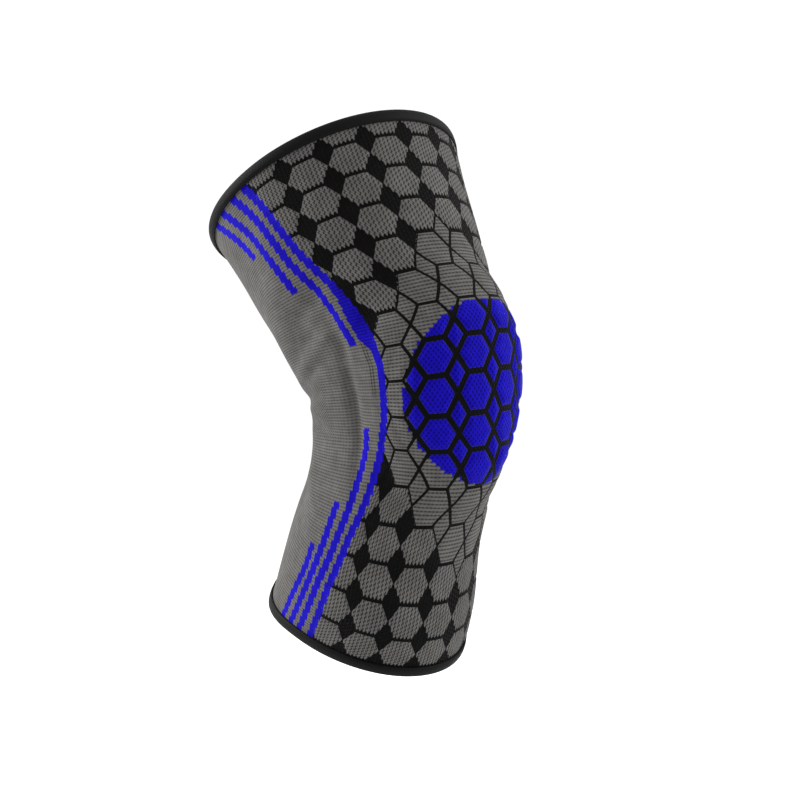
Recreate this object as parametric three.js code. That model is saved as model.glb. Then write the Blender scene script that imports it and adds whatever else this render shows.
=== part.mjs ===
// A knitted knee sleeve with a padded panel over the kneecap, bent as it is worn.
// Millimetres and degrees. +Z is up and the front of the knee faces -Y.
// The origin is the middle of the knee, on the line that runs down the middle of the leg.
import * as THREE from "three";

// The leg's middle line, from the knee to each rim, and how far it leans back from the upright
const THIGH_LENGTH = 133;
const CALF_LENGTH = 149;
const THIGH_LEAN = 50;
const KNEE_LEAN = 8.3;
const CALF_LEAN = -36;

// The sleeve across and from front to back, outside
const THIGH_WIDTH = 156;
const THIGH_DEPTH = 158;
const KNEE_WIDTH = 106;
const KNEE_DEPTH = 115;
const CALF_WIDTH = 114;
const CALF_DEPTH = 132;

// The knit, and the dome it makes over the kneecap
const KNIT_WALL = 2.2;
const DOME_RISE = 9.3;
const DOME_WIDTH = 148;
const DOME_HEIGHT = 125;

// The padded panel, measured along the knit
const PAD_WIDTH = 102;
const PAD_HEIGHT = 105;
const PAD_THICKNESS = 4.2;
const PAD_EDGE = 1.2;
const PAD_SHOULDER = 14;

// The raised bands beside the knee
const BAND_RISE = 1.1;
const BAND_WIDTH = 15;
const BAND_LENGTH = 96;
const BAND_ANGLE = 61;

// The folded bindings on the rims
const THIGH_HEM_HEIGHT = 6.6;
const CALF_HEM_HEIGHT = 7.4;
const HEM_WALL = 1.1;
const HEM_CAP = 1.6;
const CLEARANCE = 0.3;

// How finely the curved faces are cut
const SIDES = 50;
const SLEEVE_RINGS = 38;
const PAD_SIDES = 40;
const PATH_STEP = 1.5;
const FLAT_STEP = 0.5;

// Stations down the leg. "at" is a share of the length to the rim, 1 at the thigh rim and -1 at the calf rim.
// The other columns are shares of the half width, half depth and lean of the region that the station follows:
// lean is the middle line's own, and ring is how the section there is tipped.
const thigh = { width: THIGH_WIDTH / 2, depth: THIGH_DEPTH / 2, lean: THIGH_LEAN };
const knee = { width: KNEE_WIDTH / 2, depth: KNEE_DEPTH / 2, lean: KNEE_LEAN };
const calf = { width: CALF_WIDTH / 2, depth: CALF_DEPTH / 2, lean: CALF_LEAN };
const STATIONS = [
  { at: 1.0, follows: thigh, side: 1.0, front: 1.06, back: 0.95, lean: 1.03, ring: 0.69 },
  { at: 0.77, follows: thigh, side: 0.94, front: 0.885, back: 0.95, lean: 0.77, ring: 0.64 },
  { at: 0.52, follows: thigh, side: 0.87, front: 0.84, back: 0.91, lean: 0.525, ring: 0.51 },
  { at: 0.34, follows: thigh, side: 0.81, front: 0.87, back: 0.815, lean: 0.385, ring: 0.385 },
  { at: 0.17, follows: knee, side: 1.1, front: 1.18, back: 0.97, lean: 1.68, ring: 1.68 },
  { at: 0.0, follows: knee, side: 1.0, front: 1.15, back: 0.855, lean: 1.0, ring: 1.0 },
  { at: -0.16, follows: knee, side: 0.94, front: 1.04, back: 0.85, lean: 0.4, ring: 0.4 },
  { at: -0.34, follows: calf, side: 0.91, front: 0.86, back: 0.825, lean: 0.13, ring: 0.13 },
  { at: -0.535, follows: calf, side: 0.95, front: 0.79, back: 0.935, lean: 0.42, ring: 0.38 },
  { at: -0.8, follows: calf, side: 1.01, front: 0.95, back: 0.945, lean: 0.75, ring: 0.5 },
  { at: -1.0, follows: calf, side: 0.985, front: 1.1, back: 0.91, lean: 1.03, ring: 0.44 },
];

// Soft folds in the knit, the same on both sides. "at" is as above and "around" is the angle from the front.
// Length and width are shares of the knee's width, depth is a share of the knit's wall and is negative for a
// ridge, and slant turns the fold from level towards downwards at its back end.
const FOLDS = [
  { at: -0.02, around: 71, length: 0.36, width: 0.035, depth: 0.75, slant: 88 },
  { at: 0.36, around: 84, length: 0.24, width: 0.05, depth: 0.5, slant: 38 },
  { at: 0.25, around: 92, length: 0.2, width: 0.045, depth: 0.6, slant: 30 },
  { at: 0.13, around: 96, length: 0.18, width: 0.045, depth: 0.6, slant: 20 },
  { at: 0.02, around: 118, length: 0.2, width: 0.05, depth: 0.55, slant: 8 },
  { at: -0.1, around: 104, length: 0.2, width: 0.05, depth: 0.45, slant: -14 },
  { at: 0.5, around: 97, length: 0.42, width: 0.1, depth: -0.6, slant: 62 },
  { at: -0.36, around: 108, length: 0.34, width: 0.08, depth: -0.4, slant: -70 },
];

const radians = THREE.MathUtils.degToRad;
const smooth = THREE.MathUtils.smoothstep;

// How far down the middle line a station is, negative above the knee
const below = (at) => (at > 0 ? -at * THIGH_LENGTH : -at * CALF_LENGTH);

// A smooth curve through the points (xs, ys), with the slope at each point taken from both its neighbours
function curveThrough(xs, ys) {
  const rise = ys.slice(1).map((y, i) => (y - ys[i]) / (xs[i + 1] - xs[i]));
  const slope = ys.map((_, i) => {
    if (i === 0) return rise[0];
    if (i === ys.length - 1) return rise[i - 1];
    const before = xs[i] - xs[i - 1];
    const after = xs[i + 1] - xs[i];
    return (rise[i - 1] * after + rise[i] * before) / (before + after);
  });
  return (x) => {
    let i = 0;
    while (i < xs.length - 2 && x > xs[i + 1]) i += 1;
    const span = xs[i + 1] - xs[i];
    const u = (x - xs[i]) / span;
    const v = 1 - u;
    return (
      ys[i] * v * v * (1 + 2 * u) +
      ys[i + 1] * u * u * (3 - 2 * u) +
      span * u * v * (slope[i] * v - slope[i + 1] * u)
    );
  };
}

// One column of the stations as a curve down the leg
function column(share, size) {
  const rows = STATIONS.map((row) => [below(row.at), row[share] * row.follows[size]]);
  return curveThrough(
    rows.map((row) => row[0]),
    rows.map((row) => row[1]),
  );
}
const sideAt = column("side", "width");
const frontAt = column("front", "depth");
const backAt = column("back", "depth");
const leanAt = column("lean", "lean");
const ringAt = column("ring", "lean");

// The running total of step(s) away from the knee, both ways, as a function of s
function totalFromKnee(step) {
  const walk = (end) => {
    const count = Math.ceil(Math.abs(end) / PATH_STEP);
    const stride = end / count;
    const totals = [0];
    for (let i = 0; i < count; i += 1) totals.push(totals[i] + step((i + 0.5) * stride) * stride);
    return { stride, totals };
  };
  const up = walk(-THIGH_LENGTH);
  const down = walk(CALF_LENGTH);
  return (s) => {
    const { stride, totals } = s < 0 ? up : down;
    const place = Math.min(Math.max(s / stride, 0), totals.length - 1);
    const i = Math.min(Math.floor(place), totals.length - 2);
    return totals[i] + (totals[i + 1] - totals[i]) * (place - i);
  };
}
const forwardAt = totalFromKnee((s) => Math.sin(radians(leanAt(s))));
const droppedAt = totalFromKnee((s) => Math.cos(radians(leanAt(s))));

// A point of the knit before any dome, band or fold, at s down the middle line.
// The angle runs from the front of the knee, 0, towards -X.
function bare(s, angle) {
  const ring = radians(ringAt(s));
  const turn = radians(angle);
  const reach = Math.cos(turn) * (Math.cos(turn) > 0 ? frontAt(s) : backAt(s));
  return new THREE.Vector3(
    -Math.sin(turn) * sideAt(s),
    -(forwardAt(s) + reach * Math.cos(ring)),
    reach * Math.sin(ring) - droppedAt(s),
  );
}

// Which way the knit faces there
function facing(s, angle) {
  const down = bare(s + FLAT_STEP, angle).sub(bare(s - FLAT_STEP, angle));
  const around = bare(s, angle + FLAT_STEP).sub(bare(s, angle - FLAT_STEP));
  return around.cross(down).normalize();
}

// The front line's length below the knee, and the s at a given length of it
const frontLength = totalFromKnee((s) => bare(s + FLAT_STEP, 0).distanceTo(bare(s - FLAT_STEP, 0)) / (2 * FLAT_STEP));
function atFrontLength(length) {
  let [low, high] = [-THIGH_LENGTH, CALF_LENGTH];
  while (high - low > 0.01) {
    const middle = (low + high) / 2;
    if (frontLength(middle) < length) low = middle;
    else high = middle;
  }
  return low;
}

// Millimetres along the knit for each degree at the front and the side of the knee
const perDegree = radians((sideAt(0) + frontAt(0)) / 2);
const sidePerDegree = radians((sideAt(0) + backAt(0)) / 2);

// The dome over the kneecap, level in the middle and easing out at its edge
function dome(s, angle) {
  const across = (angle * perDegree) / (DOME_WIDTH / 2);
  const along = s / (DOME_HEIGHT / 2);
  return DOME_RISE * (1 - smooth(Math.hypot(across, along), 0.6, 1));
}

// The raised band beside the knee
function band(s, angle) {
  const across = Math.abs((Math.abs(angle) - BAND_ANGLE) * sidePerDegree) / (BAND_WIDTH / 2);
  const along = Math.abs(s) / (BAND_LENGTH / 2);
  return BAND_RISE * (1 - smooth(across, 0.3, 1)) * (1 - smooth(along, 0.5, 1));
}

// One fold, deepest in its middle line and fading towards its ends
function fold({ at, around, length, width, depth, slant }, s, angle) {
  const back = (Math.abs(angle) - around) * sidePerDegree;
  const down = s - below(at);
  const tilt = radians(slant);
  const along = (back * Math.cos(tilt) + down * Math.sin(tilt)) / (length * KNEE_WIDTH);
  const across = (down * Math.cos(tilt) - back * Math.sin(tilt)) / (width * KNEE_WIDTH);
  return -depth * KNIT_WALL * Math.exp(-across * across - along * along);
}

// A point at a height over the knit's outer face
function skin(s, angle, height) {
  const fromFront = THREE.MathUtils.euclideanModulo(angle + 180, 360) - 180;
  const folds = FOLDS.reduce((sum, row) => sum + fold(row, s, fromFront), 0);
  const relief = dome(s, fromFront) + band(s, fromFront) + folds;
  return bare(s, angle).addScaledVector(facing(s, angle), relief + height);
}

// A closed mesh from rows of points. Each row runs round and closes on itself.
// The rows close on each other too, unless two single points end them.
function closedMesh(name, rows, ends, material) {
  const around = rows[0].length;
  const points = [...rows.flat(), ...ends];
  const faces = [];
  const quads = ends.length ? rows.length - 1 : rows.length;
  for (let i = 0; i < quads; i += 1) {
    for (let j = 0; j < around; j += 1) {
      const here = i * around;
      const next = ((i + 1) % rows.length) * around;
      const k = (j + 1) % around;
      faces.push(here + j, next + k, next + j, here + j, here + k, next + k);
    }
  }
  if (ends.length) {
    const first = rows.length * around;
    const last = (rows.length - 1) * around;
    for (let j = 0; j < around; j += 1) {
      const k = (j + 1) % around;
      faces.push(first, k, j, first + 1, last + j, last + k);
    }
  }
  const geometry = new THREE.BufferGeometry().setFromPoints(points).setIndex(faces);
  geometry.computeVertexNormals();
  const mesh = new THREE.Mesh(geometry, material);
  mesh.name = name;
  return mesh;
}

// The ring of points at s and a height over the knit
function ringOf(s, height) {
  return Array.from({ length: SIDES }, (_, j) => skin(s, (j * 360) / SIDES, height));
}

// The tube: down the outside, and back up the inside
function knitSleeve(material) {
  const top = -THIGH_LENGTH + HEM_CAP + CLEARANCE;
  const bottom = CALF_LENGTH - HEM_CAP - CLEARANCE;
  const places = Array.from({ length: SLEEVE_RINGS + 1 }, (_, i) => THREE.MathUtils.lerp(top, bottom, i / SLEEVE_RINGS));
  const outside = places.map((s) => ringOf(s, 0));
  const inside = places.map((s) => ringOf(s, -KNIT_WALL)).reverse();
  return closedMesh("knit_sleeve", [...outside, ...inside], [], material);
}

// A binding folded over a rim, with the knit's edge in its channel.
// The profile goes round as [distance in from the rim, height over the knit].
function hem(name, rim, inward, height, material) {
  const outer = CLEARANCE + HEM_WALL;
  const inner = -KNIT_WALL - outer;
  const lip = HEM_WALL / 2;
  const middle = -KNIT_WALL / 2;
  const profile = [
    [height, outer - lip],
    [height - lip, outer],
    [HEM_CAP, outer],
    [HEM_CAP / 3, (outer + middle) / 2],
    [0, middle],
    [HEM_CAP / 3, (inner + middle) / 2],
    [HEM_CAP, inner],
    [height, inner],
    [height, -KNIT_WALL - CLEARANCE],
    [HEM_CAP, -KNIT_WALL - CLEARANCE],
    [HEM_CAP, CLEARANCE],
    [height, CLEARANCE],
  ];
  const rows = profile.map(([inset, over]) => ringOf(rim + inward * inset, over));
  if (inward > 0) rows.reverse();
  return closedMesh(name, rows, [], material);
}

// The pad's rings from its middle outwards, as shares of its size. Its height is full inside the shoulder.
function kneePad(material) {
  const shares = [0.13, 0.27, 0.41, 0.55, 0.68, 0.79, 0.88, 0.95, 1];
  const shoulder = 1 - PAD_SHOULDER / (PAD_WIDTH / 2);
  const crown = (share) => {
    const past = Math.max(0, (share - shoulder) / (1 - shoulder));
    return CLEARANCE + PAD_EDGE + (PAD_THICKNESS - PAD_EDGE) * Math.sqrt(1 - past * past);
  };
  const place = (share, turn, height) => {
    const across = (-share * Math.sin(turn) * PAD_WIDTH) / 2;
    const along = (share * Math.cos(turn) * PAD_HEIGHT) / 2;
    return skin(atFrontLength(-along), across / perDegree, height);
  };
  const ring = (share, height) =>
    Array.from({ length: PAD_SIDES }, (_, j) => place(share, (2 * Math.PI * j) / PAD_SIDES, height));
  const front = shares.map((share) => ring(share, crown(share)));
  const back = shares.map((share) => ring(share, CLEARANCE)).reverse();
  return closedMesh("knee_pad", [...front, ...back], [place(0, 0, crown(0)), place(0, 0, CLEARANCE)], material);
}

const greyKnit = new THREE.MeshStandardMaterial({ color: 0x6e6a68, roughness: 0.95, metalness: 0 });
const blueKnit = new THREE.MeshStandardMaterial({ color: 0x2414b8, roughness: 0.9, metalness: 0 });
const blackWelt = new THREE.MeshStandardMaterial({ color: 0x151516, roughness: 0.85, metalness: 0 });

const sleeve = new THREE.Group();
sleeve.add(
  knitSleeve(greyKnit),
  kneePad(blueKnit),
  hem("thigh_hem", -THIGH_LENGTH, 1, THIGH_HEM_HEIGHT, blackWelt),
  hem("calf_hem", CALF_LENGTH, -1, CALF_HEM_HEIGHT, blackWelt),
);
export default sleeve;
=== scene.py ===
"""A knitted knee sleeve with a padded panel over the kneecap, bent as worn, in a pale studio.

Metres and degrees. +Z is up and the front of the knee faces -Y. The origin is the middle of the knee.
"""

import logging
import math
from dataclasses import dataclass, field
from typing import Callable, Sequence

import bpy
import numpy as np
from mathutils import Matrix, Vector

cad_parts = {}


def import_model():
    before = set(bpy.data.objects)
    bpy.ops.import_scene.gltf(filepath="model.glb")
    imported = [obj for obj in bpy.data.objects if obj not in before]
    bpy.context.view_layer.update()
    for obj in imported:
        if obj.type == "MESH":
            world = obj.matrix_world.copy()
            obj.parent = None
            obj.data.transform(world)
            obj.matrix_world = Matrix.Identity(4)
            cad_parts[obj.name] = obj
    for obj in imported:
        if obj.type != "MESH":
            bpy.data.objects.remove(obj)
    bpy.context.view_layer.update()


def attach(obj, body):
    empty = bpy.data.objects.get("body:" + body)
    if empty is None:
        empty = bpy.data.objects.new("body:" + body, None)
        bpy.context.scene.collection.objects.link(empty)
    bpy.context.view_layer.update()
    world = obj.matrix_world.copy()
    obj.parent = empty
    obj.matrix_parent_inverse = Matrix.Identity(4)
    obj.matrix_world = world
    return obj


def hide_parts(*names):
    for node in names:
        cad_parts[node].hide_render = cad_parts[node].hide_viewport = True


log = logging.getLogger("knee_sleeve")

MM = 0.001
KNIT_MAP = "knit"
CELLS = "cells"
BANDS = "bands"
STRIPE_EDGES = "stripe_edges"
BAND_REACH = 8 * MM

Array = np.ndarray


def smoothstep(value: Array, low: float, high: float) -> Array:
    """The smooth step from 0 at low to 1 at high."""
    share = np.clip((np.asarray(value, float) - low) / (high - low), 0.0, 1.0)
    return share * share * (3 - 2 * share)


def plateau(value: Array, start: float, full: float, falling: float, end: float) -> Array:
    """0 up to start, 1 from full to falling, and 0 again from end."""
    return smoothstep(value, start, full) * (1 - smoothstep(value, falling, end))


class SmoothCurve:
    """A smooth curve through points, with the slope at each point taken from both its neighbours."""

    def __init__(self, places: Sequence[float], values: Sequence[float]) -> None:
        """Keeps the points and works out their slopes.

        Args:
            places: the points' places, in either direction.
            values: the value at each place.
        """
        order = np.argsort(places)
        self.places = np.asarray(places, float)[order]
        self.values = np.asarray(values, float)[order]
        gaps = np.diff(self.places)
        rises = np.diff(self.values) / gaps
        inner = (rises[:-1] * gaps[1:] + rises[1:] * gaps[:-1]) / (gaps[:-1] + gaps[1:])
        self.slopes = np.concatenate([rises[:1], inner, rises[-1:]])

    def __call__(self, place: Array) -> Array:
        """The curve's value at each place."""
        place = np.asarray(place, float)
        i = np.clip(np.searchsorted(self.places, place) - 1, 0, len(self.places) - 2)
        span = self.places[i + 1] - self.places[i]
        u = (place - self.places[i]) / span
        v = 1 - u
        ends = self.values[i] * v * v * (1 + 2 * u) + self.values[i + 1] * u * u * (3 - 2 * u)
        return ends + span * u * v * (self.slopes[i] * v - self.slopes[i + 1] * u)


@dataclass(frozen=True)
class Region:
    """A stretch of the leg, with half its width and depth, and its lean back from the upright."""

    width: float
    depth: float
    lean: float


@dataclass(frozen=True)
class Station:
    """A section of the leg. at is a share of the length to the rim, 1 at the thigh rim and -1 at the calf rim.

    The other shares are of the region that the section follows.
    """

    at: float
    follows: Region
    side: float
    front: float
    back: float
    lean: float
    ring: float


@dataclass(frozen=True)
class Fold:
    """A soft fold in the knit, the same on both sides of the leg.

    around is the angle from the front, length and width are in metres, depth is negative for a ridge, and
    slant turns the fold from level towards downwards at its back end.
    """

    at: float
    around: float
    length: float
    width: float
    depth: float
    slant: float


THIGH = Region(width=78 * MM, depth=79 * MM, lean=50)
KNEE = Region(width=53 * MM, depth=57.5 * MM, lean=8.3)
CALF = Region(width=57 * MM, depth=66 * MM, lean=-36)

STATIONS = (
    Station(1.0, THIGH, 1.0, 1.06, 0.95, 1.03, 0.675),
    Station(0.77, THIGH, 0.94, 0.885, 0.95, 0.77, 0.64),
    Station(0.52, THIGH, 0.87, 0.84, 0.91, 0.525, 0.51),
    Station(0.34, THIGH, 0.81, 0.87, 0.815, 0.385, 0.385),
    Station(0.17, KNEE, 1.1, 1.18, 0.97, 1.68, 1.68),
    Station(0.0, KNEE, 1.0, 1.15, 0.855, 1.0, 1.0),
    Station(-0.16, KNEE, 0.94, 1.04, 0.85, 0.4, 0.4),
    Station(-0.34, CALF, 0.91, 0.86, 0.825, 0.13, 0.13),
    Station(-0.535, CALF, 0.95, 0.79, 0.935, 0.42, 0.38),
    Station(-0.8, CALF, 1.01, 0.95, 0.945, 0.75, 0.5),
    Station(-1.0, CALF, 0.985, 1.1, 0.91, 1.03, 0.44),
)

FOLDS = (
    Fold(-0.02, 71, 38 * MM, 3.1 * MM, 1.45 * MM, 89),
    Fold(0.32, 74, 20 * MM, 3.6 * MM, 0.8 * MM, 106),
    Fold(0.36, 84, 25 * MM, 5.3 * MM, 1.3 * MM, 38),
    Fold(0.25, 92, 21 * MM, 4.8 * MM, 1.6 * MM, 30),
    Fold(0.13, 96, 19 * MM, 4.8 * MM, 1.6 * MM, 20),
    Fold(0.02, 118, 21 * MM, 5.3 * MM, 1.4 * MM, 8),
    Fold(-0.1, 104, 21 * MM, 5.3 * MM, 1.3 * MM, -14),
    Fold(0.5, 97, 44 * MM, 10.6 * MM, -1.3 * MM, 62),
    Fold(-0.36, 108, 36 * MM, 8.5 * MM, -0.9 * MM, -70),
)


@dataclass
class Leg:
    """The shape that the knit takes on a bent leg."""

    thigh_length: float = 133 * MM
    calf_length: float = 149 * MM
    dome_rise: float = 9.3 * MM
    dome_width: float = 148 * MM
    dome_height: float = 125 * MM
    band_rise: float = 1.1 * MM
    band_width: float = 15 * MM
    band_length: float = 96 * MM
    band_angle: float = 61
    fold_swell: float = 2.0
    calf_droop: float = 5 * MM
    droop_length: float = 60 * MM
    path_step: float = 0.5 * MM
    flat_step: float = 0.5

    def __post_init__(self) -> None:
        """Works out the curves down the leg and the leg's middle line."""
        places = [self.below(row.at) for row in STATIONS]
        self.side = SmoothCurve(places, [row.side * row.follows.width for row in STATIONS])
        self.front = SmoothCurve(places, [row.front * row.follows.depth for row in STATIONS])
        self.back = SmoothCurve(places, [row.back * row.follows.depth for row in STATIONS])
        self.lean = SmoothCurve(places, [row.lean * row.follows.lean for row in STATIONS])
        self.ring = SmoothCurve(places, [row.ring * row.follows.lean for row in STATIONS])
        self.path = np.arange(-self.thigh_length, self.calf_length, self.path_step)
        leans = np.radians(self.lean(self.path))
        self.forward = self.total_from_knee(np.sin(leans))
        self.dropped = self.total_from_knee(np.cos(leans))
        ahead = self.bare(self.path, np.zeros_like(self.path))
        steps = np.linalg.norm(np.gradient(ahead, self.path_step, axis=0), axis=1)
        self.front_length = self.total_from_knee(steps)
        self.per_degree = math.radians(float(self.side(0.0) + self.front(0.0)) / 2)
        self.side_per_degree = math.radians(float(self.side(0.0) + self.back(0.0)) / 2)

    def below(self, at: float) -> float:
        """How far down the middle line a station is, negative above the knee."""
        return -at * (self.thigh_length if at > 0 else self.calf_length)

    def total_from_knee(self, rate: Array) -> Array:
        """The running total of a rate along the path, 0 at the knee."""
        total = np.concatenate([[0.0], np.cumsum((rate[1:] + rate[:-1]) / 2 * self.path_step)])
        return total - np.interp(0.0, self.path, total)

    def bare(self, s: Array, angle: Array) -> Array:
        """Points of the knit before any dome, band or fold.

        Args:
            s: how far down the middle line.
            angle: degrees from the front of the knee towards -X.

        Returns:
            The points, with the coordinates in the last axis.
        """
        turn = np.radians(angle)
        ring = np.radians(self.ring(s))
        cosine = np.cos(turn)
        reach = cosine * np.where(cosine > 0, self.front(s), self.back(s))
        forward = np.interp(s, self.path, self.forward)
        near_rim = smoothstep(s, self.calf_length - self.droop_length, self.calf_length)
        droop = self.calf_droop * near_rim * smoothstep(np.abs(angle), 80, 140)
        dropped = np.interp(s, self.path, self.dropped) + droop
        return np.stack(
            [-np.sin(turn) * self.side(s), -(forward + reach * np.cos(ring)), reach * np.sin(ring) - dropped],
            axis=-1,
        )

    def facing(self, s: Array, angle: Array) -> Array:
        """Which way the knit faces at each place."""
        step = self.flat_step
        down = self.bare(s + step * MM, angle) - self.bare(s - step * MM, angle)
        around = self.bare(s, angle + step) - self.bare(s, angle - step)
        out = np.cross(around, down)
        return out / np.linalg.norm(out, axis=-1, keepdims=True)

    def dome(self, s: Array, angle: Array) -> Array:
        """The dome over the kneecap, level in the middle and easing out at its edge."""
        across = angle * self.per_degree / (self.dome_width / 2)
        along = s / (self.dome_height / 2)
        return self.dome_rise * (1 - smoothstep(np.hypot(across, along), 0.6, 1))

    def band(self, s: Array, angle: Array) -> Array:
        """The raised band beside the knee."""
        across = np.abs(np.abs(angle) - self.band_angle) * self.side_per_degree / (self.band_width / 2)
        along = np.abs(s) / (self.band_length / 2)
        return self.band_rise * (1 - smoothstep(across, 0.3, 1)) * (1 - smoothstep(along, 0.5, 1))

    def fold(self, row: Fold, s: Array, angle: Array) -> Array:
        """One fold, deepest in its middle line and fading towards its ends."""
        back = (np.abs(angle) - row.around) * self.side_per_degree
        down = s - self.below(row.at)
        tilt = math.radians(row.slant)
        along = (back * math.cos(tilt) + down * math.sin(tilt)) / row.length
        across = (down * math.cos(tilt) - back * math.sin(tilt)) / row.width
        return -row.depth * self.fold_swell * np.exp(-across * across - along * along)

    def skin(self, s: Array, angle: Array, height: Array) -> Array:
        """Points at a height over the knit's plain outer face, with the dome, bands and folds."""
        angle = (np.asarray(angle, float) + 180) % 360 - 180
        relief = self.dome(s, angle) + self.band(s, angle)
        for row in FOLDS:
            relief = relief + self.fold(row, s, angle)
        return self.bare(s, angle) + self.facing(s, angle) * (relief + height)[..., None]

    def at_front_length(self, length: Array) -> Array:
        """The place down the middle line at a length along the front of the knee."""
        return np.interp(length, self.front_length, self.path)


@dataclass
class Chart:
    """The knitting chart: hexagons in rows and columns over the leg, and the stripes beside them.

    Rows are numbered down the front and columns outwards from the front line. The lists give each row's
    place down the leg, the width of a column and the shift of the front line there.
    """

    leg: Leg
    edge_columns: float = 8.5
    even_columns: float = 4.3
    top_row: float = -0.46
    bottom_row: float = 15.95
    middle_row: float = 8.02
    stitches: int = 10
    slope: float = 0.54
    column: float = 21.8 * MM
    row: float = 19 * MM
    pad_columns: float = 2.27
    pad_rows: float = 2.47
    pad_square: float = 2.1
    raised_height: float = 0.6 * MM
    pillow_height: float = 0.35 * MM
    stripe_width: float = 4.4 * MM
    wider: float = 4.0 * MM
    squeezed_columns: float = 2.2
    row_places: tuple = (
        (-0.46, -133.0),
        (1.5, -102.0),
        (3.5, -69.3),
        (5.0, -45.2),
        (6.5, -23.0),
        (8.0, -0.8),
        (9.5, 23.6),
        (11.0, 50.5),
        (12.5, 80.0),
        (14.5, 120.8),
        (15.95, 149.0),
    )
    column_widths: tuple = ((0, 24.6), (3, 23.6), (5.5, 22.5), (8, 21.7), (10.5, 21.8), (13, 20.7), (16, 22.0))
    front_shifts: tuple = ((0, 8.6), (3, 2.4), (5.5, -2.7), (8, -0.6), (10.5, -7.0), (13, -6.0), (16, -0.6))
    squeezes: tuple = ((0, 0.0), (5, 0.0), (6.5, 0.1), (8, 0.18), (10, 0.24), (11.5, 0.2), (13, 0.0), (16, 0.0))

    def __post_init__(self) -> None:
        """Makes the curves down the rows and the table of lengths round the leg."""
        rows = [row for row, _ in self.row_places]
        places = [place * MM for _, place in self.row_places]
        self.place_of_row = SmoothCurve(rows, places)
        self.row_of_place = SmoothCurve(places, rows)
        self.squeeze_at = SmoothCurve(*zip(*self.squeezes))
        self.width_at = SmoothCurve(*zip(*((row, width * MM) for row, width in self.column_widths)))
        self.shift_at = SmoothCurve(*zip(*((row, shift * MM) for row, shift in self.front_shifts)))
        self.angles = np.linspace(0, 180, 181)
        self.levels = np.linspace(-self.leg.thigh_length, self.leg.calf_length, 283)
        s, angle = np.meshgrid(self.levels, self.angles, indexing="ij")
        points = self.leg.bare(s, angle) + self.leg.facing(s, angle) * self.leg.dome(s, angle)[..., None]
        steps = np.linalg.norm(np.diff(points, axis=1), axis=-1)
        self.lengths = np.concatenate([np.zeros((len(self.levels), 1)), np.cumsum(steps, axis=1)], axis=1)

    def length_round(self, s: Array, angle: Array) -> Array:
        """The length along the knit from the front line, negative on the +X side."""
        level = np.clip((s - self.levels[0]) / (self.levels[1] - self.levels[0]), 0, len(self.levels) - 1.001)
        turn = np.clip(np.abs(angle), 0, 179.999)
        i, j = level.astype(int), turn.astype(int)
        u, v = level - i, turn - j
        table = self.lengths
        upper = table[i, j] * (1 - v) + table[i, j + 1] * v
        lower = table[i + 1, j] * (1 - v) + table[i + 1, j + 1] * v
        return np.sign(angle) * (upper * (1 - u) + lower * u)

    def angle_at(self, row: float, columns: Array) -> Array:
        """The angles from the front of places along one row.

        Args:
            row: the row.
            columns: the columns, from -edge_columns to edge_columns.

        Returns:
            Degrees from the front, towards -X.
        """
        s = float(self.place_of_row(row))
        level = np.clip((s - self.levels[0]) / (self.levels[1] - self.levels[0]), 0, len(self.levels) - 1.001)
        i, u = int(level), level - int(level)
        lengths = self.lengths[i] * (1 - u) + self.lengths[i + 1] * u
        width, shift = float(self.width_at(row)), float(self.shift_at(row))
        even_size = np.clip(np.abs(columns), 0, self.even_columns)
        even_size = even_size - np.maximum(even_size - self.squeezed_columns, 0) * float(self.squeeze_at(row))
        even = np.sign(columns) * even_size * width + shift
        past = (np.abs(columns) - self.even_columns) / (self.edge_columns - self.even_columns)
        rest = np.sign(columns) * lengths[-1] - even
        around = even + rest * np.clip(past, 0, 1)
        return np.sign(around) * np.interp(np.abs(around), lengths, self.angles)

    def column_at(self, s: Array, angle: Array) -> Array:
        """The column of places near the front, given how far down and round they are."""
        row = self.row_of_place(s)
        return (self.length_round(s, angle) - self.shift_at(row)) / self.width_at(row)

    def edges(self, columns: Array, rows: Array) -> tuple[Array, Array]:
        """The distances to the sloping and the level edges of the cell that each place is in.

        Args:
            columns: the places' columns.
            rows: the places' rows.

        Returns:
            The distance to the sloping edge, negative in a diamond, and to the level edge.
        """
        x = np.abs(columns - np.floor(columns) - 0.5)
        y = np.abs(rows + 0.5 - np.floor(rows + 0.5) - 0.5)
        lean = math.hypot(1, self.slope * self.column / self.row)
        return (0.5 - self.slope * y - x) * self.column / lean, (0.5 - y) * self.row

    def is_outlined(self, columns: Array, rows: Array) -> Array:
        """Whether each place is in a cell near the pad, with thin outlines."""
        sloping, _ = self.edges(columns, rows)
        hexagon = sloping > 0
        column = np.where(hexagon, np.floor(columns) + 0.5, np.round(columns))
        row = np.where(hexagon, np.round(rows), np.floor(rows) + 0.5)
        return np.abs(column) + np.abs(row - 8) <= 4.51

    def is_blue(self, columns: Array, rows: Array) -> Array:
        """Whether each place is on the blue of the pad, stitch by stitch."""
        column = (np.floor(columns * self.stitches) + 0.5) / self.stitches
        row = (np.floor(rows * self.stitches) + 0.5) / self.stitches
        across = np.abs(column / self.pad_columns) ** self.pad_square
        along = np.abs((row - self.middle_row) / self.pad_rows) ** self.pad_square
        return across + along < 1

    def stripe_line(self, points: Sequence[tuple[float, float]]) -> tuple[Array, Array, Array]:
        """A stripe's middle line, as rows, lengths round the leg and how steeply it runs round."""
        rows, angles = (np.array(values, float) for values in zip(*points))
        fine = np.linspace(rows[0], rows[-1], 200)
        places = self.place_of_row(fine)
        lengths = self.length_round(places, np.interp(fine, rows, angles))
        return fine, lengths, np.gradient(lengths, places)

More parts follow.
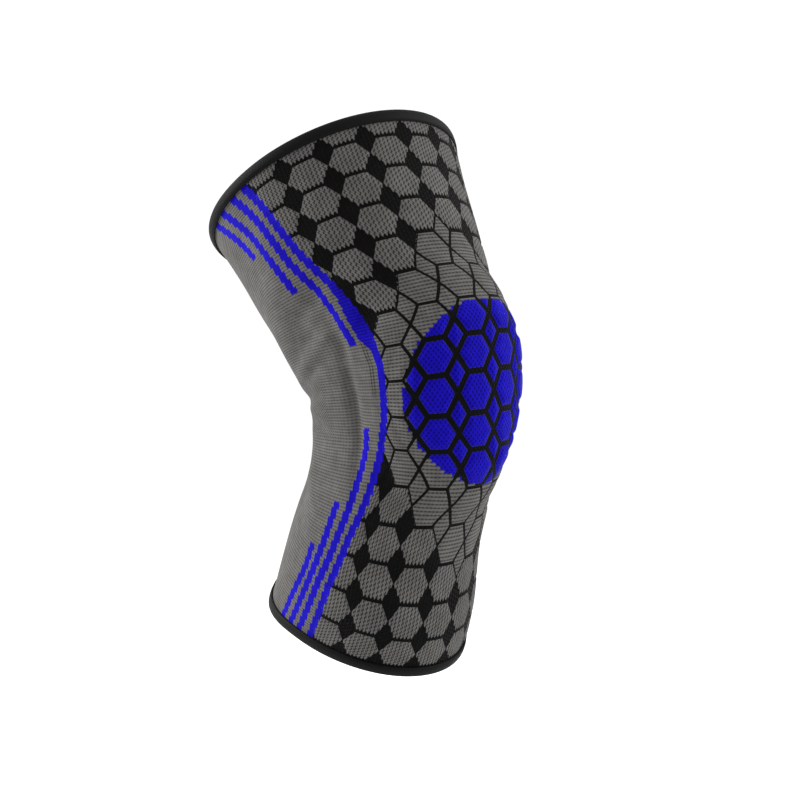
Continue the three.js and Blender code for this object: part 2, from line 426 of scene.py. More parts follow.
    def stripe_edges(self, stripes: Sequence[tuple], rows: Array, lengths: Array) -> list[Array]:
        """How far inside the nearest of some stripes each place is, from its front and its back edge.

        Args:
            stripes: each stripe's middle line, as rows and degrees from the front.
            rows: the places' rows.
            lengths: the places' lengths round the leg.

        Returns:
            The distances from the front edge and from the back edge, negative outside them.
        """
        front = np.full_like(rows, -math.inf)
        back = front.copy()
        for points in stripes:
            places, middle, slope = self.stripe_line(points)
            off = (np.abs(lengths) - np.interp(rows, places, middle)) / np.hypot(1, np.interp(rows, places, slope))
            first = places[0] if places[0] > self.top_row else -math.inf
            last = places[-1] if places[-1] < self.bottom_row else math.inf
            along = np.minimum(rows - first, last - rows) * self.row
            past_front = np.minimum(self.stripe_width / 2 + off, along)
            past_back = np.minimum(self.stripe_width / 2 - off, along)
            nearer = np.minimum(past_front, past_back) > np.minimum(front, back)
            front = np.where(nearer, past_front, front)
            back = np.where(nearer, past_back, back)
        return [np.minimum(front, self.stripe_width), np.minimum(back, self.stripe_width)]

    def past_first_stripe(self, rows: Array, lengths: Array) -> Array:
        """How far each place is behind the first stripe's middle line."""
        places, middle, _ = self.stripe_line(FIRST_STRIPE)
        return np.abs(lengths) - np.interp(rows, places, middle)

    def inside_wide_stretch(self, rows: Array, lengths: Array) -> Array:
        """How far each place is inside the stretch where the first stripe swells backwards."""
        places, _, slope = self.stripe_line(FIRST_STRIPE)
        off = self.past_first_stripe(rows, lengths) / np.hypot(1, np.interp(rows, places, slope))
        first, full, narrowing, last = WIDE_ROWS
        more = self.wider * plateau(rows, first, full, narrowing, last)
        across = np.minimum(self.stripe_width / 2 + off, self.stripe_width / 2 + more - off)
        return np.minimum(across, np.minimum(rows - first, last - rows) * self.row)

    def relief(self, columns: Array, rows: Array, lengths: Array) -> Array:
        """The height of the hexagons over the knit's plain face, fading out under the bindings."""
        sloping, level = self.edges(columns, rows)
        hexagon = sloping > 0
        inside = np.where(hexagon, np.minimum(sloping, level), -sloping)
        raised = np.where(hexagon, self.raised_height * smoothstep(inside, -0.2 * MM, 1.4 * MM), 0)
        pillow = self.pillow_height * smoothstep(inside, 0.3 * MM, 3.2 * MM)
        cells = np.where(self.is_outlined(columns, rows), pillow, raised)
        behind = self.past_first_stripe(rows, lengths)
        cells = cells * (1 - smoothstep(behind, -3 * MM, 0))
        clear = smoothstep(rows, self.top_row + 0.35, self.top_row + 0.75)
        clear = clear * (1 - smoothstep(rows, self.bottom_row - 0.75, self.bottom_row - 0.35))
        return cells * clear


FIRST_STRIPE = (
    (-0.5, 82),
    (1.0, 77),
    (2.1, 74.5),
    (3.0, 71.6),
    (3.8, 66.8),
    (4.5, 61.7),
    (5.2, 57.4),
    (6.2, 52.6),
    (7.0, 50.7),
    (8.5, 52.7),
    (9.6, 56.2),
    (11.0, 63.5),
    (12.0, 69.4),
    (13.6, 75.2),
    (16.3, 78.5),
)

ODD_STRIPES = (
    FIRST_STRIPE,
    ((-0.5, 102), (0.1, 98.5), (1.5, 92), (2.9, 86.5), (4.1, 83)),
    ((11.2, 82.5), (11.9, 85.5), (12.8, 88), (13.7, 89.8), (15.5, 92), (16.3, 93)),
)

EVEN_STRIPES = (
    ((-0.5, 91), (0.1, 88), (1.6, 82.5), (3.2, 78), (4.6, 70), (6.3, 62)),
    ((-0.5, 112), (0.0, 109), (1.2, 102), (2.3, 97)),
    ((8.9, 64.5), (9.6, 66), (10.5, 70.3), (11.5, 74.8), (12.1, 77.5), (13.6, 82.8), (16.3, 86)),
    ((12.7, 95), (13.5, 95.5), (14.7, 99), (15.6, 100.5), (16.3, 102)),
)

# The rows where the first stripe starts to widen, is widest, starts to narrow, and is narrow again
WIDE_ROWS = (4.3, 5.5, 6.1, 6.6)

# The rows and the distances behind the first stripe between which fine dotted lines run beside the band
DOTTED_ROWS = (5.9, 6.3, 7.6, 8.3)
DOTTED_BEHIND = (4 * MM, 4.6 * MM, 8.6 * MM, 9.2 * MM)


class Term:
    """A number in a material. Plain sums of terms become its shader nodes."""

    def __init__(self, tree: bpy.types.NodeTree, socket: bpy.types.NodeSocket) -> None:
        """Keeps the socket that gives the number."""
        self.tree = tree
        self.socket = socket

    def make(self, operation: str, *others: "Term | float", clamp: bool = False) -> "Term":
        """A Math node of this term and the others."""
        node = self.tree.nodes.new("ShaderNodeMath")
        node.operation = operation
        node.use_clamp = clamp
        for slot, value in zip(node.inputs, (self, *others)):
            if isinstance(value, Term):
                self.tree.links.new(value.socket, slot)
            else:
                slot.default_value = value
        return Term(self.tree, node.outputs[0])

    def __add__(self, other: "Term | float") -> "Term":
        """The sum."""
        return self.make("ADD", other)

    def __sub__(self, other: "Term | float") -> "Term":
        """The difference."""
        return self.make("SUBTRACT", other)

    def __mul__(self, other: "Term | float") -> "Term":
        """The product."""
        return self.make("MULTIPLY", other)

    def __neg__(self) -> "Term":
        """The opposite."""
        return self.make("MULTIPLY", -1.0)

    def fract(self) -> "Term":
        """The part after the point."""
        return self.make("FRACT")

    def size(self) -> "Term":
        """The value without its sign."""
        return self.make("ABSOLUTE")

    def wave(self) -> "Term":
        """1 at each whole number and -1 half way between."""
        return self.make("MULTIPLY", 2 * math.pi).make("COSINE")

    def least(self, other: "Term | float") -> "Term":
        """The smaller of the two."""
        return self.make("MINIMUM", other)

    def most(self, other: "Term | float") -> "Term":
        """The larger of the two."""
        return self.make("MAXIMUM", other)

    def rise(self, low: float, high: float) -> "Term":
        """0 at low and 1 at high, smooth between them."""
        node = self.tree.nodes.new("ShaderNodeMapRange")
        node.interpolation_type = "SMOOTHSTEP"
        self.tree.links.new(self.socket, node.inputs["Value"])
        node.inputs["From Min"].default_value = low
        node.inputs["From Max"].default_value = high
        return Term(self.tree, node.outputs["Result"])

    def blend(self, other: "Term | float", share: "Term | float") -> "Term":
        """This term where share is 0 and the other where it is 1."""
        return self + ((other if isinstance(other, Term) else self * 0 + other) - self) * share


Colour = tuple[float, float, float]


@dataclass
class Recipe:
    """The start of a material: its nodes, links and ways to read the mesh."""

    name: str
    roughness: float
    specular: float
    sheen: float

    def __post_init__(self) -> None:
        """Makes the material with its surface shader."""
        self.material = bpy.data.materials.new(self.name)
        self.material.use_nodes = True
        self.tree = self.material.node_tree
        self.shader = self.tree.nodes["Principled BSDF"]
        self.shader.inputs["Roughness"].default_value = self.roughness
        self.shader.inputs["Specular IOR Level"].default_value = self.specular
        self.shader.inputs["Sheen Weight"].default_value = self.sheen
        self.shader.inputs["Sheen Roughness"].default_value = 0.3

    def map_terms(self) -> tuple[Term, Term]:
        """The two numbers of the knit's own map."""
        node = self.tree.nodes.new("ShaderNodeUVMap")
        node.uv_map = KNIT_MAP
        parts = self.tree.nodes.new("ShaderNodeSeparateXYZ")
        self.tree.links.new(node.outputs["UV"], parts.inputs[0])
        return Term(self.tree, parts.outputs[0]), Term(self.tree, parts.outputs[1])

    def attribute_terms(self, name: str) -> tuple[Term, Term, Term, Term]:
        """The four numbers of an attribute."""
        node = self.tree.nodes.new("ShaderNodeAttribute")
        node.attribute_name = name
        parts = self.tree.nodes.new("ShaderNodeSeparateXYZ")
        self.tree.links.new(node.outputs["Vector"], parts.inputs[0])
        colours = [Term(self.tree, output) for output in parts.outputs]
        return (*colours, Term(self.tree, node.outputs["Alpha"]))

    def noise(self, scale: float, detail: float = 2.0) -> Term:
        """Noise from about 0 to 1 over the object, with scale in bumps for each metre."""
        place = self.tree.nodes.new("ShaderNodeTexCoord")
        node = self.tree.nodes.new("ShaderNodeTexNoise")
        node.inputs["Scale"].default_value = scale
        node.inputs["Detail"].default_value = detail
        self.tree.links.new(place.outputs["Object"], node.inputs["Vector"])
        return Term(self.tree, node.outputs["Fac"])

    def colour(self, value: Colour) -> bpy.types.NodeSocket:
        """A colour as a socket."""
        node = self.tree.nodes.new("ShaderNodeRGB")
        node.outputs[0].default_value = (*value, 1)
        return node.outputs[0]

    def mix(self, first: bpy.types.NodeSocket, second: bpy.types.NodeSocket, share: Term) -> bpy.types.NodeSocket:
        """The first colour where share is 0 and the second where it is 1."""
        node = self.tree.nodes.new("ShaderNodeMix")
        node.data_type = "RGBA"
        sockets = {socket.identifier: socket for socket in node.inputs}
        self.tree.links.new(share.socket, sockets["Factor_Float"])
        self.tree.links.new(first, sockets["A_Color"])
        self.tree.links.new(second, sockets["B_Color"])
        return next(socket for socket in node.outputs if socket.identifier == "Result_Color")

    def scale(self, colour: bpy.types.NodeSocket, share: Term) -> bpy.types.NodeSocket:
        """The colour times a share."""
        node = self.tree.nodes.new("ShaderNodeVectorMath")
        node.operation = "SCALE"
        self.tree.links.new(colour, node.inputs[0])
        self.tree.links.new(share.socket, node.inputs["Scale"])
        return node.outputs[0]

    def finish(self, colour: bpy.types.NodeSocket, height: Term) -> bpy.types.Material:
        """Gives the shader its colour and its relief.

        Args:
            colour: the base colour.
            height: the relief, in metres.

        Returns:
            The material.
        """
        bump = self.tree.nodes.new("ShaderNodeBump")
        bump.inputs["Distance"].default_value = 1.0
        self.tree.links.new(height.socket, bump.inputs["Height"])
        self.tree.links.new(colour, self.shader.inputs["Base Color"])
        self.tree.links.new(bump.outputs["Normal"], self.shader.inputs["Normal"])
        return self.material


@dataclass(frozen=True)
class KnitFinish:
    """The patterned knit: grey, black and blue yarn, in stitches that differ from zone to zone, with painted shade
    in the stitches' holes and grooves.
    """

    grey: Colour = (0.088, 0.085, 0.081)
    # The second grey and blue are the yarn colours with painted shade, for the holes and grooves of the stitches.
    grey_in_hollow_shade: Colour = (0.008, 0.0078, 0.0074)
    black: Colour = (0.003, 0.003, 0.0028)
    blue: Colour = (0.0065, 0.003, 0.27)
    blue_in_hollow_shade: Colour = (0.001, 0.0005, 0.06)
    outline: float = 0.8 * MM
    pad_outline: float = 1.5 * MM
    spike: float = 0.09
    step_courses: float = 3.0
    step_slant: float = 0.24
    stitch_depth: float = 0.3 * MM

    def material(self, name: str, chart: Chart) -> bpy.types.Material:
        """The material, reading the knit's map and zones.

        Args:
            name: the material's name.
            chart: the knitting chart that the map follows.

        Returns:
            The material.
        """
        recipe = Recipe(name, roughness=0.88, specular=0.03, sheen=0.05)
        column, row = recipe.map_terms()
        outlined, blue, solid, _ = recipe.attribute_terms(CELLS)
        behind, inside_wide, eyelet, dotted = recipe.attribute_terms(BANDS)
        edges = recipe.attribute_terms(STRIPE_EDGES)
        wale = column * float(chart.stitches)
        course = row * float(chart.stitches)
        tooth = (wale.fract() - 0.5).size() * 2
        x = (column.fract() - 0.5).size()
        y = (row + 0.5).fract() - 0.5
        below = y.make("GREATER_THAN", 0.0)
        lean = math.hypot(1, chart.slope * chart.column / chart.row)
        across = chart.column / lean

        jagged = y.size() + tooth * below * self.spike
        raised_sloping = (-(jagged * chart.slope + x) + 0.5) * across
        raised_level = -(jagged * chart.row) + (0.5 * chart.row - self.outline)
        raised_grey = raised_sloping.least(raised_level).rise(-0.1 * MM, 0.1 * MM)

        sloping = (-(y.size() * chart.slope + x) + 0.5) * across
        level = -(y.size() * chart.row) + 0.5 * chart.row
        inside = sloping.size().least(level + (-sloping).most(0.0) * 1000)
        line = blue * (self.pad_outline - self.outline) + self.outline
        cell = (inside - line).rise(-0.12 * MM, 0.12 * MM)
        lower_leg = ((row - chart.middle_row + 1) * 0.5).most(-1.0).least(1.0)
        step_length = self.step_courses * chart.row / chart.stitches / MM
        stepped = ((course * (1 / self.step_courses)).fract() - 0.5) * lower_leg * (self.step_slant * step_length)
        odd = (edges[0] + stepped).least(edges[1] - stepped)
        even = (edges[2] + stepped).least(edges[3] - stepped)
        stripe = odd.most(even).rise(-0.12, 0.12)
        wide = (inside_wide + stepped).rise(-0.12, 0.12)
        plain = (behind + stepped).rise(-0.12, 0.12)
        grey_share = raised_grey.blend(cell, outlined).blend(cell, blue)
        grey_share = grey_share * (-solid + 1)
        grey_share = grey_share.blend(1.0, plain)

        # Painted shade: the holes, ribs, dots and dotted lines of the stitches darken the yarn colour, as well as
        # sinking in the bump.
        slanted = (wale.fract() - 0.5) * 0.5
        staggered = (wale * 0.5).wave() * (course * 0.8 + slanted).wave()
        holes = tooth.rise(0.1, 0.8) * staggered.rise(-0.45, 0.35)
        ribs = course.wave().rise(-0.3, 0.7) * (wale.wave() * 0.25 + 0.75)
        dots = ((wale * 0.9).wave() * (course * 0.6).wave()).rise(-0.1, 0.8)
        open_holes = (wale.wave() * course.wave()).rise(0.1, 0.5)
        lines = (behind * 0.6).wave().rise(0.2, 0.8) * (course.wave() * 0.3 + 0.7)
        shaded_hollows = holes.blend(ribs * 0.8, outlined)
        shaded_hollows = shaded_hollows.blend(ribs * 0.6, plain)
        shaded_hollows = shaded_hollows.blend(open_holes * 0.9, eyelet)
        shaded_hollows = shaded_hollows.blend(dots * 0.7, blue)
        shaded_hollows = shaded_hollows.blend(ribs * 0.3, stripe).blend(ribs * 0.7, wide)
        shaded_hollows = shaded_hollows.most(lines * dotted)

        mottle = (recipe.noise(60.0, 4.0) * 0.5 + 0.75) * (recipe.noise(210.0, 3.0) * 0.6 + 0.7)
        fibre = recipe.noise(1400.0, 3.0) * 0.5 + 0.75
        # Each yarn colour moves towards its painted-shade colour in the stitch hollows.
        grey = recipe.mix(recipe.colour(self.grey), recipe.colour(self.grey_in_hollow_shade), shaded_hollows)
        colour = recipe.mix(recipe.colour(self.black), grey, grey_share)
        blue_yarn_with_shade = recipe.mix(recipe.colour(self.blue), recipe.colour(self.blue_in_hollow_shade), shaded_hollows)
        blue_share = (blue * grey_share).most(stripe).most(wide)
        colour = recipe.mix(colour, blue_yarn_with_shade, blue_share)
        colour = recipe.scale(colour, mottle * fibre)

        fine = (course * 2).wave() * (-grey_share + 1) * (0.05 * MM)
        height = -(shaded_hollows * self.stitch_depth) + fine + grey_share * (0.25 * MM) + fibre * (0.06 * MM)
        return recipe.finish(colour, height)


@dataclass(frozen=True)
class WeltFinish:
    """The smooth black elastic of the bindings, with its fine ribs."""

    colour: Colour = (0.0038, 0.0038, 0.0036)
    rib_depth: float = 0.05 * MM

    def material(self, name: str) -> bpy.types.Material:
        """The material, with fine ribs round the binding and crossing threads, their crests painted lighter and
        their troughs painted darker.
        """
        recipe = Recipe(name, roughness=0.6, specular=0.05, sheen=0.02)
        across, around = recipe.map_terms()
        ribs = around.wave() * across.wave()
        fibre = recipe.noise(1500.0, 3.0)
        # Painted light and shade: ribs * 0.12 makes the colour lighter on the rib crests and darker in the troughs;
        # the fibre noise is random tone.
        shade = fibre * 0.5 + 0.75 + ribs * 0.12
        colour = recipe.scale(recipe.colour(self.colour), shade)
        return recipe.finish(colour, ribs * self.rib_depth + fibre * (0.05 * MM))


def deselect() -> None:
    """Deselects everything."""
    bpy.ops.object.select_all(action="DESELECT")


def select_only(*objects: bpy.types.Object) -> None:
    """Selects these objects, the first of them active."""
    deselect()
    for item in objects:
        item.select_set(True)
    bpy.context.view_layer.objects.active = objects[0]


def positions(piece: bpy.types.Object) -> Array:
    """The piece's vertices."""
    flat = np.zeros(len(piece.data.vertices) * 3, np.float32)
    piece.data.vertices.foreach_get("co", flat)
    return flat.reshape(-1, 3).astype(float)


def place(piece: bpy.types.Object, points: Array) -> None:
    """Puts the piece's vertices at these points."""
    piece.data.vertices.foreach_set("co", points.astype(np.float32).ravel())
    piece.data.update()


def corner_vertices(piece: bpy.types.Object) -> Array:
    """The vertex of each face corner."""
    corners = np.zeros(len(piece.data.loops), np.int32)
    piece.data.loops.foreach_get("vertex_index", corners)
    return corners


def write_map(piece: bpy.types.Object, first: Array, second: Array) -> None:
    """Gives each face corner its two numbers of the knit's map, from those of its vertex."""
    corners = corner_vertices(piece)
    while piece.data.uv_layers:
        piece.data.uv_layers.remove(piece.data.uv_layers[0])
    layer = piece.data.uv_layers.new(name=KNIT_MAP)
    layer.uv.foreach_set("vector", np.stack([first, second], -1)[corners].astype(np.float32).ravel())


def write_corners(piece: bpy.types.Object, name: str, values: Array) -> None:
    """Gives each face corner its four numbers of an attribute."""
    attribute = piece.data.color_attributes.new(name=name, type="FLOAT_COLOR", domain="CORNER")
    attribute.data.foreach_set("color", values.astype(np.float32).ravel())


def write_cells(piece: bpy.types.Object, outlined: Array | float, blue: Array | float, solid: Array | float) -> None:
    """Gives each face what the chart says of its cell: outlined, blue or solid black."""
    none = np.zeros(len(piece.data.polygons))
    sizes = np.zeros(len(piece.data.polygons), np.int32)
    piece.data.polygons.foreach_get("loop_total", sizes)
    values = np.stack([none + outlined, none + blue, none + solid, none], -1)
    write_corners(piece, CELLS, np.repeat(values, sizes, axis=0))


def write_bands(
    piece: bpy.types.Object,
    behind: Array | float,
    wide: Array | float,
    eyelet: Array | float,
    dotted: Array | float,
    edges: Sequence,
) -> None:
    """Gives each corner what the chart says of the stripes there, with distances in millimetres.

    Args:
        piece: the piece.
        behind: how far behind the first stripe.
        wide: how far inside the first stripe's wide stretch.
        eyelet: the share of eyelet stitches.
        dotted: the share of dotted lines.
        edges: how far behind the front edge and in front of the back edge of the nearest odd stripe, and
            then of the nearest even one.
    """
    none = np.zeros(len(piece.data.vertices))
    corners = corner_vertices(piece)
    far = [np.clip(none + part, -BAND_REACH, BAND_REACH) / MM for part in (behind, wide, *edges)]
    write_corners(piece, BANDS, np.stack([far[0], far[1], none + eyelet, none + dotted], -1)[corners])
    write_corners(piece, STRIPE_EDGES, np.stack(far[2:], -1)[corners])


def write_plain(piece: bpy.types.Object, behind: float) -> None:
    """Gives a piece no stripes, cells of its own or eyelets.

    Args:
        piece: the piece.
        behind: how far behind the first stripe it counts as, where the knit is plain grey.
    """
    write_bands(piece, behind, -BAND_REACH, 0, 0, [-BAND_REACH] * 4)


def face_means(piece: bpy.types.Object, values: Array) -> Array:
    """The mean of a value over each face's corners, for a mesh of four-sided faces."""
    return values[corner_vertices(piece)].reshape(-1, 4).mean(axis=1)


def new_grid(name: str, across: int, along: int) -> bpy.types.Object:
    """Adds a flat grid from -1 to 1 both ways, with this many faces."""
    deselect()
    bpy.ops.mesh.primitive_grid_add(x_subdivisions=across, y_subdivisions=along, size=2)
    grid = bpy.context.object
    grid.name = name
    grid.data.name = name
    return grid


def merge_doubles(piece: bpy.types.Object, distance: float) -> None:
    """Merges vertices that lie together."""
    select_only(piece)
    bpy.ops.object.mode_set(mode="EDIT")
    bpy.ops.mesh.select_all(action="SELECT")
    bpy.ops.mesh.remove_doubles(threshold=distance)
    bpy.ops.object.mode_set(mode="OBJECT")


def bridge_rims(piece: bpy.types.Object, chosen: Callable[[Array], Array]) -> None:
    """Joins the two open rims whose edges are chosen by their middles."""
    mesh = piece.data
    pairs = np.zeros(len(mesh.edges) * 2, np.int32)
    mesh.edges.foreach_get("vertices", pairs)
    pairs = pairs.reshape(-1, 2)
    loops = np.zeros(len(mesh.loops), np.int32)
    mesh.loops.foreach_get("edge_index", loops)
    uses = np.bincount(loops, minlength=len(pairs))
    middles = positions(piece)[pairs].mean(axis=1)
    picked = (uses == 1) & chosen(middles)
    select_only(piece)
    bpy.ops.object.mode_set(mode="EDIT")
    bpy.ops.mesh.select_all(action="DESELECT")
    bpy.ops.mesh.select_mode(type="EDGE")
    bpy.ops.object.mode_set(mode="OBJECT")
    mesh.edges.foreach_set("select", picked)
    bpy.ops.object.mode_set(mode="EDIT")
    bpy.ops.mesh.bridge_edge_loops()
    bpy.ops.mesh.select_mode(type="VERT")
    bpy.ops.mesh.select_all(action="DESELECT")
    bpy.ops.object.mode_set(mode="OBJECT")


def dress(piece: bpy.types.Object, material: bpy.types.Material, node: str) -> None:
    """Finishes a piece: smooth faces, its material, and its place in the frame.

    Args:
        piece: the piece.
        material: its finish.
        node: the CAD node that it stands for.
    """
    select_only(piece)
    bpy.ops.object.shade_smooth()
    piece.data.materials.clear()
    piece.data.materials.append(material)
    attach(piece, "root")
    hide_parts(node)
    log.info("%s: %d vertices, %d faces", piece.name, len(piece.data.vertices), len(piece.data.polygons))
    deselect()


@dataclass
class KnitSleeve:
    """The knitted tube from rim to rim, its patterned outside and its plain inside."""

    leg: Leg
    chart: Chart
    pad: "KneePad"
    wall: float = 2.2 * MM
    rim: float = 3.2 * MM
    faces_round: int = 340
    faces_down: int = 268
    inner_round: int = 68
    inner_down: int = 56
    flat_size: tuple[float, float] = (0.34, 0.29)

    def outside(self) -> bpy.types.Object:
        """The outer face, shaped and charted."""
        piece = new_grid("knit_sleeve_outside", self.faces_round, self.faces_down)
        flat = positions(piece)
        columns = -flat[:, 0] * self.chart.edge_columns
        rows, s, angles = self.places(flat, columns)
        lengths = self.chart.length_round(s, angles)
        height = self.chart.relief(columns, rows, lengths) * smoothstep(self.pad.share_at(s, angles), 0.97, 1.08)
        write_map(piece, columns, rows)
        self.write_chart(piece, columns, rows, lengths, angles)
        place(piece, self.leg.skin(s, angles, height))
        merge_doubles(piece, 0.02 * MM)
        return piece

    def inside(self) -> bpy.types.Object:
        """The inner face, facing the leg."""
        piece = new_grid("knit_sleeve_inside", self.inner_round, self.inner_down)
        flat = positions(piece)
        columns = flat[:, 0] * self.chart.edge_columns
        rows, s, angles = self.places(flat, columns)
        write_map(piece, columns, rows)
        write_cells(piece, 0, 0, 0)
        write_plain(piece, BAND_REACH)
        place(piece, self.leg.skin(s, angles, np.full_like(s, -self.wall)))
        merge_doubles(piece, 0.02 * MM)
        return piece

    def places(self, flat: Array, columns: Array) -> tuple[Array, Array, Array]:
        """The rows, places down the leg and angles of a flat grid's vertices.

        Args:
            flat: the grid's vertices, from -1 to 1.
            columns: each vertex's column.

        Returns:
            The rows, the places down the leg and the angles.
        """
        top = float(self.chart.row_of_place(-self.leg.thigh_length + self.rim))
        bottom = float(self.chart.row_of_place(self.leg.calf_length - self.rim))
        rows = top + (bottom - top) * (1 - flat[:, 1]) / 2
        angles = np.zeros_like(rows)
        levels, which = np.unique(np.round(rows, 6), return_inverse=True)
        for i, level in enumerate(levels):
            picked = which == i
            angles[picked] = self.chart.angle_at(float(level), columns[picked])
        return rows, self.chart.place_of_row(rows), angles

    def write_chart(
        self, piece: bpy.types.Object, columns: Array, rows: Array, lengths: Array, angles: Array
    ) -> None:
        """Writes what the chart says of each face and vertex.

        Args:
            piece: the outer face.
            columns: each vertex's column.
            rows: each vertex's row.
            lengths: each vertex's length round the leg.
            angles: each vertex's angle from the front.
        """
        chart = self.chart
        column, row = face_means(piece, columns), face_means(piece, rows)
        outlined = chart.is_outlined(column, row)
        beside = (np.abs(np.abs(column) - 3.5) < 0.5) & np.isin(np.round(row), (5, 6, 10)) & ~outlined
        write_cells(piece, outlined, 0, beside)
        edges = [*chart.stripe_edges(ODD_STRIPES, rows, lengths), *chart.stripe_edges(EVEN_STRIPES, rows, lengths)]
        behind = chart.past_first_stripe(rows, lengths)
        eyelet = smoothstep(np.abs(angles), 86, 94) * smoothstep(rows, 6.7, 7.4) * (1 - smoothstep(rows, 8.9, 9.6))
        dotted = plateau(rows, *DOTTED_ROWS) * plateau(behind, *DOTTED_BEHIND)
        write_bands(piece, behind, chart.inside_wide_stretch(rows, lengths), eyelet, dotted, edges)

    def build(self, finish: bpy.types.Material) -> bpy.types.Object:
        """Builds the sleeve and puts it in the frame."""
        piece = self.outside()
        select_only(piece, self.inside())
        bpy.ops.object.join()
        bridge_rims(piece, lambda middles: middles[:, 2] > 0)
        bridge_rims(piece, lambda middles: middles[:, 2] < 0)
        piece.name = "knitted_sleeve"
        piece.data.name = "knitted_sleeve"
        dress(piece, finish, "knit_sleeve")
        return piece


@dataclass
class KneePad:
    """The padded panel over the kneecap, its cells swelling between the black lines."""

    leg: Leg
    chart: Chart
    width: float = 102 * MM
    height: float = 105 * MM
    thickness: float = 4.4 * MM
    shoulder: float = 18 * MM
    edge: float = 0.04 * MM
    seat: float = 0.06 * MM
    swell: float = 1.2 * MM
    fill: float = 0.6
    faces: int = 200
    back_faces: int = 40

    def places(self, flat: Array, side: float) -> tuple[Array, Array, Array]:
        """Spreads a flat square grid over the pad.

        Args:
            flat: the grid's vertices, from -1 to 1.
            side: 1 for the front, or -1 for the back, which is turned round to face inwards.

        Returns:
            The places down the leg, the angles and the shares of the way to the pad's edge.
        """
        x, y = flat[:, 0] * side, flat[:, 1]
        disc_x = x * np.sqrt(1 - y * y / 2)
        disc_y = y * np.sqrt(1 - x * x / 2)
        angles = -disc_x * self.width / 2 / self.leg.per_degree
        s = self.leg.at_front_length(-disc_y * self.height / 2)
        return s, angles, np.hypot(disc_x, disc_y)

    def share_at(self, s: Array, angles: Array) -> Array:
        """How far each place of the knit is from the pad's middle, as a share of the way to its edge."""
        along = np.interp(s, self.leg.path, self.leg.front_length) / (self.height / 2)
        return np.hypot(angles * self.leg.per_degree / (self.width / 2), along)

    def front(self) -> bpy.types.Object:
        """The panel's outer face."""
        piece = new_grid("pad_front", self.faces, self.faces)
        s, angles, share = self.places(positions(piece), 1)
        columns, rows = self.chart.column_at(s, angles), self.chart.row_of_place(s)
        start = 1 - self.shoulder / (self.width / 2)
        past = np.clip((share - start) / (1 - start), 0, 1)
        crown = self.edge + (self.thickness - self.edge) * np.cos(past**1.4 * math.pi / 2) ** 1.4
        sloping, level = self.chart.edges(columns, rows)
        inside = np.where(sloping > 0, np.minimum(sloping, level), -sloping)
        cells = self.swell * (smoothstep(inside, 0.7 * MM, 4.5 * MM) - 0.8) * (1 - smoothstep(share, 0.82, 0.97))
        write_map(piece, columns, rows)
        column, row = face_means(piece, columns), face_means(piece, rows)
        write_cells(piece, 1, self.chart.is_blue(column, row), 0)
        write_plain(piece, -BAND_REACH)
        place(piece, self.leg.skin(s, angles, self.seat + crown + cells))
        return piece

    def back(self) -> bpy.types.Object:
        """The panel's inner face, lying on the knit."""
        piece = new_grid("pad_back", self.back_faces, self.back_faces)
        s, angles, _ = self.places(positions(piece), -1)
        columns, rows = self.chart.column_at(s, angles), self.chart.row_of_place(s)
        write_map(piece, columns, rows)
        write_cells(piece, 0, 0, 0)
        write_plain(piece, BAND_REACH)
        place(piece, self.leg.skin(s, angles, np.full_like(s, self.seat)))
        return piece

    def build(self, finish: bpy.types.Material) -> bpy.types.Object:
        """Builds the panel and puts it in the frame."""
        piece = self.front()
        select_only(piece, self.back())
        bpy.ops.object.join()
        bridge_rims(piece, lambda middles: np.ones(len(middles), bool))
        piece.name = "padded_panel"
        piece.data.name = "padded_panel"
        dress(piece, finish, "knee_pad")
        return piece


@dataclass
class RimBinding:
    """A binding of smooth black elastic folded over a rim."""

    leg: Leg
    name: str
    node: str
    rim: float
    inward: float
    height: float
    knit: float = 2.2 * MM
    wall: float = 1.2 * MM
    gap: float = 0.3 * MM
    cap: float = 1.6 * MM
    inset: float = 1.3 * MM
    faces_round: int = 220
    outer_faces: int = 20

    def profile(self) -> tuple[Array, Array]:
        """The binding's section, closed: distance in from the rim, and height over the knit."""
        reach = self.knit / 2 + self.gap + self.wall
        turn = np.linspace(0, math.pi, self.outer_faces + 1)
        inset = self.height * (1 - np.sin(turn) ** 0.55)
        tuck = 1 - 0.16 * (inset / self.height) ** 5
        across = np.sign(np.cos(turn)) * np.abs(np.cos(turn)) ** 0.35 * reach * tuck
        over = across - self.knit / 2
        channel = self.knit / 2 + self.gap
        back_inset = np.array([self.height, self.cap, self.cap, self.height])
        back_over = np.array([-channel, -channel, channel, channel]) - self.knit / 2
        return np.concatenate([inset, back_inset]), np.concatenate([over, back_over])

    def build(self, finish: bpy.types.Material) -> bpy.types.Object:
        """Builds the binding and puts it in the frame."""
        inset, over = self.profile()
        points = len(inset)
        deselect()
        bpy.ops.mesh.primitive_torus_add(
            major_segments=self.faces_round, minor_segments=points, major_radius=1.0, minor_radius=0.25
        )
        piece = bpy.context.object
        piece.name = self.name
        piece.data.name = self.name
        flat = positions(piece)
        around = np.degrees(np.arctan2(flat[:, 1], flat[:, 0]))
        ring = np.arctan2(flat[:, 2], np.hypot(flat[:, 0], flat[:, 1]) - 1.0)
        index = np.round(ring / (2 * math.pi) * points).astype(int) % points
        if self.inward < 0:
            index = (points - index) % points
        s = self.rim + self.inward * (self.inset + inset[index])
        write_map(piece, index * 0.5, around * 1.2)
        place(piece, self.leg.skin(s, around, over[index]))
        select_only(piece)
        bpy.ops.object.mode_set(mode="EDIT")
        bpy.ops.mesh.select_all(action="SELECT")
        bpy.ops.mesh.normals_make_consistent(inside=False)
        bpy.ops.mesh.select_all(action="DESELECT")
        bpy.ops.object.mode_set(mode="OBJECT")
        dress(piece, finish, self.node)
        return piece


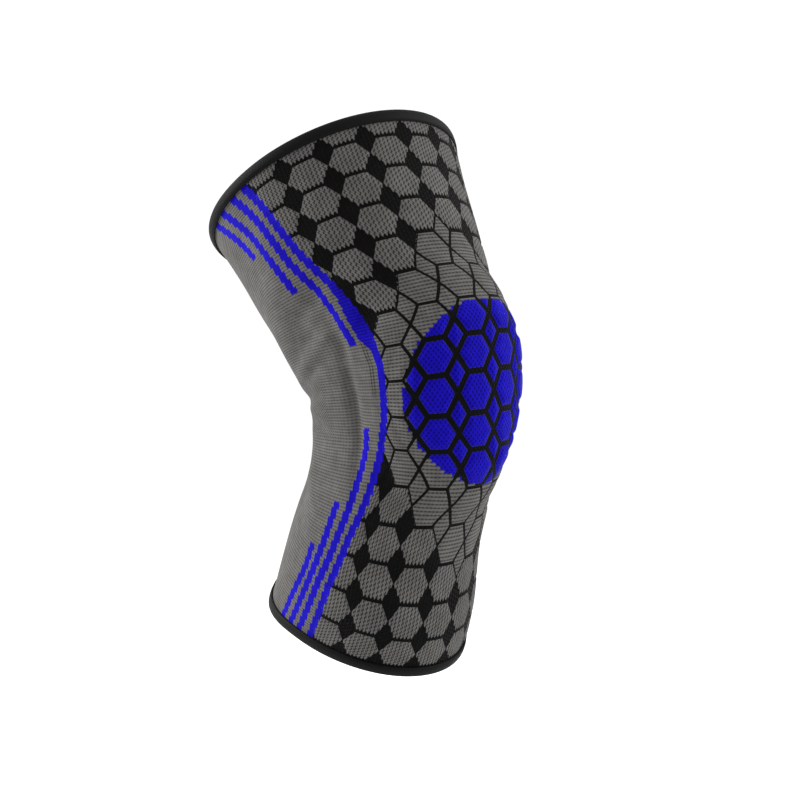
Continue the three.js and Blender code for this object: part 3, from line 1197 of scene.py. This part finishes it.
@dataclass
class Softbox:
    """A square soft light aimed at the knee."""

    name: str
    place: tuple[float, float, float]
    size: float
    power: float
    spread: float = 90

    def build(self) -> bpy.types.Object:
        """Adds the light."""
        light = bpy.data.lights.new(self.name, "AREA")
        light.shape = "SQUARE"
        light.spread = math.radians(self.spread)
        light.size = self.size
        light.energy = self.power
        lamp = bpy.data.objects.new(self.name, light)
        bpy.context.scene.collection.objects.link(lamp)
        lamp.location = self.place
        lamp.rotation_euler = Vector([-value for value in self.place]).to_track_quat("-Z", "Y").to_euler()
        return lamp


@dataclass
class Studio:
    """The pale floor, the soft lights and the camera at the photograph's angle."""

    eye: tuple[float, float, float] = (-0.4360, -0.4873, 0.0950)
    looks_along: tuple[float, float, float] = (0.6624, 0.7340, -0.1495)
    lens: float = 50.7
    sensor: float = 36.0
    floor_height: float = -0.42
    floor_size: float = 30.0
    floor_colour: Colour = (0.95, 0.95, 0.95)
    room_light: float = 1.08
    lights: list[Softbox] = field(
        default_factory=lambda: [
            Softbox("left_softbox", (-0.77, 1.09, 0.45), 0.8, 9.5),
            Softbox("right_softbox", (1.06, -0.77, 0.45), 0.8, 5.5),
            Softbox("top_softbox", (0.3, 0.3, 1.6), 1.0, 4.0),
        ]
    )

    def build(self) -> None:
        """Builds the studio round the object."""
        scene = bpy.context.scene
        scene.view_settings.view_transform = "Standard"
        world = bpy.data.worlds.new("pale_room")
        world.use_nodes = True
        world.node_tree.nodes["Background"].inputs["Color"].default_value = (1, 1, 1, 1)
        world.node_tree.nodes["Background"].inputs["Strength"].default_value = self.room_light
        scene.world = world
        deselect()
        bpy.ops.mesh.primitive_plane_add(size=self.floor_size, location=(0, 0, self.floor_height))
        floor = bpy.context.object
        floor.name = "studio_floor"
        paint = Recipe("floor_paint", roughness=0.9, specular=0.1, sheen=0.0)
        shade = paint.noise(3.0) * 0.02 + 0.99
        floor.data.materials.append(paint.finish(paint.scale(paint.colour(self.floor_colour), shade), shade * 0.0))
        for light in self.lights:
            light.build()
        camera = bpy.data.cameras.new("camera")
        camera.lens = self.lens
        camera.sensor_width = self.sensor
        camera.clip_start = 0.02
        eye = bpy.data.objects.new("camera", camera)
        scene.collection.objects.link(eye)
        eye.location = self.eye
        eye.rotation_euler = Vector(self.looks_along).to_track_quat("-Z", "Y").to_euler()
        scene.camera = eye


def main() -> None:
    """Builds the sleeve, its pad, its bindings and the studio."""
    logging.basicConfig(level=logging.INFO, format="%(name)s %(message)s")
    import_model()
    leg = Leg()
    chart = Chart(leg)
    knit = KnitFinish().material("patterned_knit", chart)
    welt = WeltFinish().material("black_elastic")
    pad = KneePad(leg, chart)
    sleeve = KnitSleeve(leg, chart, pad)
    tube = sleeve.build(knit)
    pad.build(knit)
    thigh = RimBinding(leg, "thigh_binding", "thigh_hem", -leg.thigh_length, 1, 6.6 * MM).build(welt)
    calf = RimBinding(leg, "calf_binding", "calf_hem", leg.calf_length, -1, 7.4 * MM).build(welt)
    Studio().build()


if __name__ == "__main__":
    main()
